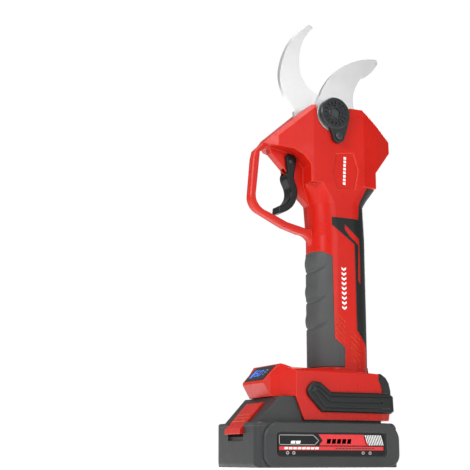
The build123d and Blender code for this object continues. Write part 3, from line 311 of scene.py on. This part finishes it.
LOOKS = {
    RED: ["housing_left", "housing_right", "battery_latch"],
    DARK_RUBBER: ["back_pad_left", "back_pad_right", "heel_pad", "bumper_left", "bumper_right"],
    RUBBER: ["grip_pad_left", "grip_pad_right"],
    BLACK: ["trigger", "power_button"],
    LOCK_BLACK: ["lock_plate", "pivot_nut"],
    PACK: ["battery_case", "battery_lid", "battery_bezels"],
    HOOK_STEEL: ["hook_blade"],
    CUTTER_STEEL: ["cutting_blade"],
    ALUMINIUM: ["cheek_left", "cheek_right", "gear_case", "motor_can", "motor_end_plate"],
    DARK_STEEL: ["pivot_bolt", "trigger_pin", "lock_screw", "head_screws", "housing_screws",
                 "battery_screws"],
    COPPER: ["windings"],
    CABLE: ["wiring"],
    BOARD: ["trigger_sensor", "display_board", "controller_board", "protection_board"],
    SCREEN: ["display_window"],
    LABEL_FILM: ["battery_labels"],
    WRAP: ["battery_cells"],
    WHITE_PLASTIC: ["cell_holder", "terminal_block"],
    NICKEL: ["cell_strips", "pack_contacts"],
}


def dress():
    """Gives each CAD node its material; machined steel for those that LOOKS doesn't name."""
    by_node = {}
    for material, names in LOOKS.items():
        for name in names:
            by_node[name] = material
    for name, node in NODES.items():
        node.data.materials.clear()
        node.data.materials.append(by_node.get(name, STEEL))


# ---------------------------------------------------------------- thin printed and lit shapes
def new_object(name, mesh, materials):
    piece = bpy.data.objects.new(name, mesh)
    bpy.context.scene.collection.objects.link(piece)
    for material in materials:
        piece.data.materials.append(material)
    return piece


def prism(bm, outline, to_world, thick, material=0):
    """Adds a thin plate whose outline, in its own plane, is carried to the object by to_world."""
    low = [bm.verts.new(to_world(u, v, 0.0)) for u, v in outline]
    high = [bm.verts.new(to_world(u, v, thick)) for u, v in outline]
    faces = [bm.faces.new(high), bm.faces.new(list(reversed(low)))]
    count = len(outline)
    for k in range(count):
        faces.append(bm.faces.new((low[k], low[(k + 1) % count], high[(k + 1) % count], high[k])))
    for face in faces:
        face.material_index = material


def finish_mesh(name, bm, materials):
    bmesh.ops.recalc_face_normals(bm, faces=bm.faces)
    mesh = bpy.data.meshes.new(name)
    bm.to_mesh(mesh)
    bm.free()
    return new_object(name, mesh, materials)


def bar(u0, u1, v0, v1, slant=0.0):
    """Four corners of a bar; slant moves its top edge along u."""
    return [(u0, v0), (u1, v0), (u1 + slant, v1), (u0 + slant, v1)]


def frame_bars(points, width):
    """A line of constant width along open points, as one outline per run."""
    runs = []
    for (u0, v0), (u1, v1) in zip(points, points[1:]):
        along = Vector((u1 - u0, v1 - v0)).normalized()
        side = Vector((-along.y, along.x)) * width / 2
        end = along * width / 2
        runs.append([(u0 - side.x - end.x, v0 - side.y - end.y), (u1 - side.x + end.x, v1 - side.y + end.y),
                     (u1 + side.x + end.x, v1 + side.y + end.y), (u0 + side.x - end.x, v0 + side.y - end.y)])
    return runs


INK_LIFT = 0.02                        # gap between the label film and its print, mm
INK_THICK = 0.05
FRAME_LINE = 0.45                      # width of the arrow frame's line
BAND_LOW, BAND_HIGH = 3.9, 6.6         # red band along the label
FIELD_LOW = 7.4                        # foot of the red field
ARROW_TIP_Z = 10.9
HATCH_COUNT, HATCH_STEP = 11, 1.45
RING_RADIUS, RING_LINE, RING_Z = 1.05, 0.35, 1.9


def label_print(side):
    """Print of one label: grey field, arrow frame, red field and band, hatch and plain marks."""
    surface = LABEL_LOW[1] if side < 0 else LABEL_HIGH[1]
    x_low, x_high = LABEL_LOW[0], LABEL_HIGH[0]
    z_low, z_high = LABEL_LOW[2], LABEL_HIGH[2]
    length = (x_high - x_low) / MM
    height = (z_high - z_low) / MM

    def to_world(u, v, lift):
        x = x_low + u * MM if side < 0 else x_high - u * MM
        return Vector((x, surface + side * (INK_LIFT * MM + lift * MM), z_low + v * MM))

    bm = bmesh.new()
    red, white, grey, black = 0, 1, 2, 3
    prism(bm, [(33.5, height - 0.9), (36.8, ARROW_TIP_Z), (33.9, FIELD_LOW),
               (length - 14.2, FIELD_LOW), (length - 18.4, height - 0.9)],
          to_world, INK_THICK, red)
    prism(bm, bar(1.2, length - 1.4, BAND_LOW, BAND_HIGH), to_world, INK_THICK, red)
    arrow_frame = [(1.8, 7.8), (1.3, 8.8), (1.3, height - 1.6), (29.2, height - 1.6),
                   (33.6, ARROW_TIP_Z), (30.4, 7.8), (1.8, 7.8)]
    for run in frame_bars(arrow_frame, FRAME_LINE):
        prism(bm, run, to_world, INK_THICK, grey)
    for k in range(HATCH_COUNT):
        start = length - 16.4 + HATCH_STEP * k
        end = length - 15.7 + HATCH_STEP * k
        prism(bm, bar(start, end, 7.6, height - 1.2, -2.2),
              to_world, INK_THICK, white)
    for k in range(2):
        prism(bm, bar(10.4 + 4.2 * k, 13.9 + 4.2 * k, 8.5, 10.6, 0.6), to_world, INK_THICK, white)
    for k in range(5):
        prism(bm, bar(40.0 + 4.3 * k, 43.3 + 4.3 * k, 8.6, 12.1, 0.8), to_world, INK_THICK, black)
    for k in range(8):
        prism(bm, bar(5.2 + 3.6 * k, 8.0 + 3.6 * k, 4.5, 6.0, 0.4), to_world, INK_THICK * 2, white)
    for k in range(12):
        prism(bm, bar(47.5 + 2.8 * k, 49.6 + 2.8 * k, 4.8, 5.7, 0.2), to_world, INK_THICK * 2, black)
    for u in (8.0, 13.0, length - 19.0, length - 13.0):
        angles = [k * pi / 3 for k in range(7)]
        ring = [(u + RING_RADIUS * cos(a), RING_Z + RING_RADIUS * sin(a)) for a in angles]
        for run in frame_bars(ring, RING_LINE):
            prism(bm, run, to_world, INK_THICK, white)
    name = "label_print_left" if side < 0 else "label_print_right"
    piece = finish_mesh(name, bm, [RED_INK, WHITE_INK, GREY_INK, BLACK_INK])
    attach(piece, "battery")


PROBE_START = 0.06                     # a ray starts here, outside the shell, m
MARK_ROOT = 0.02                       # depth by which a mark is set into the shell, mm


def surface_hit(tree, x, z, side):
    """Point and outward normal of the shell at (x, z), seen from its side."""
    origin = Vector((x, side * PROBE_START, z))
    hit, normal, _, _ = tree.ray_cast(origin, Vector((0, -side, 0)))
    return hit, normal


def tree_of(name):
    mesh = NODES[name].data
    points = [v.co.copy() for v in mesh.vertices]
    faces = [tuple(p.vertices) for p in mesh.polygons]
    return BVHTree.FromPolygons(points, faces)


def wrapped_marks(name, shapes, side, shell, thick=0.07):
    """Thin plain marks laid on a shell's outside; shapes are outlines in x and z, in mm."""
    tree = tree_of(shell)
    bm = bmesh.new()
    for outline in shapes:
        low = []
        high = []
        for x, z in outline:
            hit, normal = surface_hit(tree, x * MM, z * MM, side)
            low.append(bm.verts.new(hit - normal * MARK_ROOT * MM))
            high.append(bm.verts.new(hit + normal * thick * MM))
        bm.faces.new(high)
        bm.faces.new(list(reversed(low)))
        count = len(outline)
        for k in range(count):
            bm.faces.new((low[k], low[(k + 1) % count], high[(k + 1) % count], high[k]))
    piece = finish_mesh(name, bm, [WHITE_INK])
    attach(piece, "housing")


CHEVRON_LEFT, CHEVRON_RIGHT = 23.4, 27.4
CHEVRON_COUNT, CHEVRON_STEP, CHEVRON_LOW = 9, 3.85, 121.0
CHEVRON_RISE, CHEVRON_THICK = 1.35, 1.7
HEAD_COUNT, HEAD_STEP, HEAD_LOW = 8, 3.0, 222.0
HEAD_LEFT, HEAD_RIGHT, HEAD_TALL = 26.2, 28.4, 2.1
HEAD_LEAN = 0.05                       # how far a head mark shifts back for each mm it stands higher


def handle_marks(side):
    """A plain row of chevrons up the handle and a shorter row of bars on the head."""
    name = "left" if side < 0 else "right"
    middle = (CHEVRON_LEFT + CHEVRON_RIGHT) / 2
    shapes = []
    for k in range(CHEVRON_COUNT):
        z = CHEVRON_LOW + CHEVRON_STEP * k
        outer = z + CHEVRON_RISE
        shapes.append([(middle, z), (CHEVRON_RIGHT, outer),
                       (CHEVRON_RIGHT, outer + CHEVRON_THICK), (middle, z + CHEVRON_THICK)])
        shapes.append([(CHEVRON_LEFT, outer), (middle, z),
                       (middle, z + CHEVRON_THICK), (CHEVRON_LEFT, outer + CHEVRON_THICK)])
    wrapped_marks(f"handle_marks_{name}", shapes, side, f"housing_{name}")
    head_shapes = []
    for k in range(HEAD_COUNT):
        z = HEAD_LOW + HEAD_STEP * k
        lean = HEAD_LEAN * (z - HEAD_LOW)
        head_shapes.append(bar(HEAD_LEFT + lean, HEAD_RIGHT + lean, z, z + HEAD_TALL))
    wrapped_marks(f"head_marks_{name}", head_shapes, side, f"housing_{name}")


SIGN_LIFT = 0.015                      # gap between the cover and the lit signs, mm
SIGN_THICK = 0.05
DIGIT_LINE = 0.55
DIGIT_RAISE = 0.2


def display_signs():
    """Lit signs under the display's cover: two plain digits, a charge bar and a row of dots."""
    low, high = Vector(WINDOW_LOW), Vector(WINDOW_HIGH)
    up = Vector((high.x - low.x, 0.0, high.z - low.z)).normalized()
    out = Vector((-up.z, 0.0, up.x))
    across = Vector((0.0, -1.0, 0.0))
    verts = [v.co for v in NODES["display_window"].data.vertices]
    face_at = max(v.dot(out) for v in verts)
    centre = Vector(((low.x + high.x) / 2, 0.0, (low.z + high.z) / 2))
    centre += out * (face_at - centre.dot(out))

    def to_world(u, v, lift):
        return centre + across * u * MM + up * v * MM + out * (SIGN_LIFT + lift) * MM

    bm = bmesh.new()
    segments = {
        "top": [(-1.5, 3.0), (1.5, 3.0)], "middle": [(-1.5, 0.0), (1.5, 0.0)],
        "bottom": [(-1.5, -3.0), (1.5, -3.0)],
        "left_up": [(-1.9, 0.4), (-1.9, 2.7)], "left_low": [(-1.9, -2.7), (-1.9, -0.4)],
        "right_up": [(1.9, 0.4), (1.9, 2.7)], "right_low": [(1.9, -2.7), (1.9, -0.4)],
    }
    digits = [(-4.2, ["top", "left_up", "middle", "left_low", "right_low", "bottom"]),
              (1.8, ["top", "left_up", "left_low", "right_up", "right_low", "bottom"])]
    for offset, names in digits:
        for name in names:
            run = [(u + offset, v + DIGIT_RAISE) for u, v in segments[name]]
            for outline in frame_bars(run, DIGIT_LINE):
                prism(bm, outline, to_world, SIGN_THICK, 0)
    for k in range(4):
        prism(bm, bar(-11.8, -9.4, -3.2 + 1.7 * k, -2.1 + 1.7 * k), to_world, SIGN_THICK, 0)
    for run in frame_bars([(-12.6, -4.2), (-8.6, -4.2), (-8.6, 4.2), (-12.6, 4.2), (-12.6, -4.2)], 0.3):
        prism(bm, run, to_world, SIGN_THICK, 1)
    for k in range(3):
        prism(bm, bar(8.2, 11.2 - 0.8 * k, 2.6 - 2.4 * k, 3.4 - 2.4 * k), to_world, SIGN_THICK, 1)
    piece = finish_mesh("display_signs", bm, [BLUE_GLOW, WHITE_GLOW])
    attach(piece, "housing")


# ---------------------------------------------------------------- soft grip pads
CREASES = (152.0, 128.0, 107.0)        # height of each crease's front end, mm
CREASE_RISE = 0.62                     # how much a crease climbs for each mm to the rear
CREASE_LENGTH = 8.0
CREASE_DEPTH = 1.25
CREASE_WIDTH = 1.0
CREASE_LEAD = 2.0                      # how far ahead of its front end a crease begins to fade in
CREASE_FRONT = 1.5                     # the creases' front end, behind the pad's foremost point
LIP_SHARE, LIP_ABOVE, LIP_WIDTH = 0.35, 2.2, 1.6
PAD_VOXEL = 0.00055                    # m
SMOOTH_PASSES = 2
RIPPLE, RIPPLE_SCALE = 0.05, 0.22      # faint unevenness of the rubber, mm and 1/mm
HANDLE_X = 30.0                        # line inside the handle that the outer face looks away from, mm
OUTER_FACING = 0.3


def crease_depth(x, z, front):
    """How deep the creases between the fingers are pressed in at (x, z), in mm."""
    depth = 0.0
    for start in CREASES:
        along = x - front
        if along < -CREASE_LEAD or along > CREASE_LENGTH:
            continue
        line = start + CREASE_RISE * along
        across = (z - line) / CREASE_WIDTH
        fade = sin(pi * min(1.0, max(0.0, (along + CREASE_LEAD) / (CREASE_LENGTH + CREASE_LEAD))))
        lip = LIP_SHARE * exp(-((z - line - LIP_ABOVE) / LIP_WIDTH) ** 2)
        depth = max(depth, fade * (exp(-across * across) - lip))
    return CREASE_DEPTH * depth


def soft_pad(side):
    """The grip pad as soft rubber: rounded edges, and creases pressed in between the fingers."""
    name = "left" if side < 0 else "right"
    source = NODES[f"grip_pad_{name}"]
    mesh = source.data.copy()
    mesh.name = f"soft_grip_{name}"
    piece = bpy.data.objects.new(f"soft_grip_{name}", mesh)
    bpy.context.scene.collection.objects.link(piece)
    remesh = piece.modifiers.new("even", "REMESH")
    remesh.mode = "VOXEL"
    remesh.voxel_size = PAD_VOXEL
    evaluated = piece.evaluated_get(bpy.context.evaluated_depsgraph_get())
    even = bpy.data.meshes.new_from_object(evaluated)
    piece.modifiers.clear()
    piece.data = even
    bm = bmesh.new()
    bm.from_mesh(even)
    for _ in range(SMOOTH_PASSES):
        bmesh.ops.smooth_vert(bm, verts=bm.verts, factor=0.5,
                              use_axis_x=True, use_axis_y=True, use_axis_z=True)
    bm.normal_update()
    outer = {}
    for v in bm.verts:
        x, y, z = v.co / MM
        facing = v.normal.dot(Vector((x - HANDLE_X, y, 0.0)).normalized())
        if facing > OUTER_FACING:
            depth = crease_depth(x, z, PAD_FRONT + CREASE_FRONT)
            ripple = RIPPLE * noise.noise(Vector((x, y, z)) * RIPPLE_SCALE)
            outer[v] = v.normal * (ripple - depth) * MM
    for v, move in outer.items():
        v.co += move
    for face in bm.faces:
        face.smooth = True
    bm.to_mesh(even)
    bm.free()
    even.materials.clear()
    even.materials.append(RUBBER)
    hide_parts(f"grip_pad_{name}")
    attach(piece, "housing")


# ---------------------------------------------------------------- stage, light and camera
FLOOR_GLOW = 0.75                      # keeps the pale floor from ending in a grey horizon
FLOOR_SIZE = 6.0                       # half the floor's side, m


def stage():
    """A plain pale floor."""
    bm = bmesh.new()
    bmesh.ops.create_grid(bm, x_segments=8, y_segments=8, size=FLOOR_SIZE)
    mesh = bpy.data.meshes.new("floor")
    bm.to_mesh(mesh)
    bm.free()
    m = Nodes("floor_paint")
    m.colour(m.mix(m.ramp(m.noise(3.0), 0.3, 0.7, 0.0, 1.0), (0.90, 0.90, 0.90), (0.92, 0.92, 0.92)))
    m.cloudy_roughness(8.0, 0.65, 0.75)
    m.set(emission_color=(1.0, 1.0, 1.0, 1.0), emission_strength=FLOOR_GLOW)
    floor = new_object("floor", mesh, [m.material])


LIGHT_TARGET = (0.01, 0.0, 0.19)       # middle of the tool, m


def soft_light(name, place, size, power):
    data = bpy.data.lights.new(name, "AREA")
    data.shape = "RECTANGLE"
    data.size, data.size_y = size
    data.energy = power
    lamp = bpy.data.objects.new(name, data)
    bpy.context.scene.collection.objects.link(lamp)
    lamp.location = place
    lamp.rotation_euler = (Vector(LIGHT_TARGET) - Vector(place)).to_track_quat("-Z", "Y").to_euler()


ROOM_LIGHT = 0.30                      # what the white world gives to the object; the camera sees it full


def lights():
    """White world, dimmed for everything but the camera, and four soft lamps; sizes in m, power in W."""
    world = bpy.data.worlds.new("studio")
    world.use_nodes = True
    background = world.node_tree.nodes["Background"]
    background.inputs["Color"].default_value = (1.0, 1.0, 1.0, 1.0)
    path = world.node_tree.nodes.new("ShaderNodeLightPath")
    strength = world.node_tree.nodes.new("ShaderNodeMapRange")
    strength.inputs["To Min"].default_value = ROOM_LIGHT
    strength.inputs["To Max"].default_value = 1.0
    world.node_tree.links.new(path.outputs["Is Camera Ray"], strength.inputs["Value"])
    world.node_tree.links.new(strength.outputs["Result"], background.inputs["Strength"])
    bpy.context.scene.world = world
    bpy.context.scene.view_settings.view_transform = "Standard"
    soft_light("key", (-1.05, -0.55, 0.75), (0.45, 0.45), 11.0)
    soft_light("front_fill", (0.25, -1.30, 0.30), (0.7, 0.9), 5.5)
    soft_light("top", (-0.10, 0.05, 1.25), (0.6, 0.6), 7.0)
    soft_light("rear_rim", (0.75, 0.85, 0.7), (0.5, 0.8), 5.0)


CAMERA_PLACE = (-0.4063, -0.7806, 0.005)   # m
CAMERA_PITCH = 11.4                    # upwards, degrees
CAMERA_TURN = -23.9
CAMERA_LENS = 85.8                     # mm, on a 36 mm sensor


def camera():
    data = bpy.data.cameras.new("camera")
    data.sensor_width = 36.0
    data.lens = CAMERA_LENS
    data.clip_start = 0.01
    eye = bpy.data.objects.new("camera", data)
    bpy.context.scene.collection.objects.link(eye)
    eye.location = CAMERA_PLACE
    eye.rotation_euler = (radians(90.0 + CAMERA_PITCH), 0.0, radians(CAMERA_TURN))
    bpy.context.scene.camera = eye


# ---------------------------------------------------------------- making
stage()
lights()
camera()
dress()
for side in (-1, 1):
    label_print(side)
    handle_marks(side)
    soft_pad(side)
display_signs()
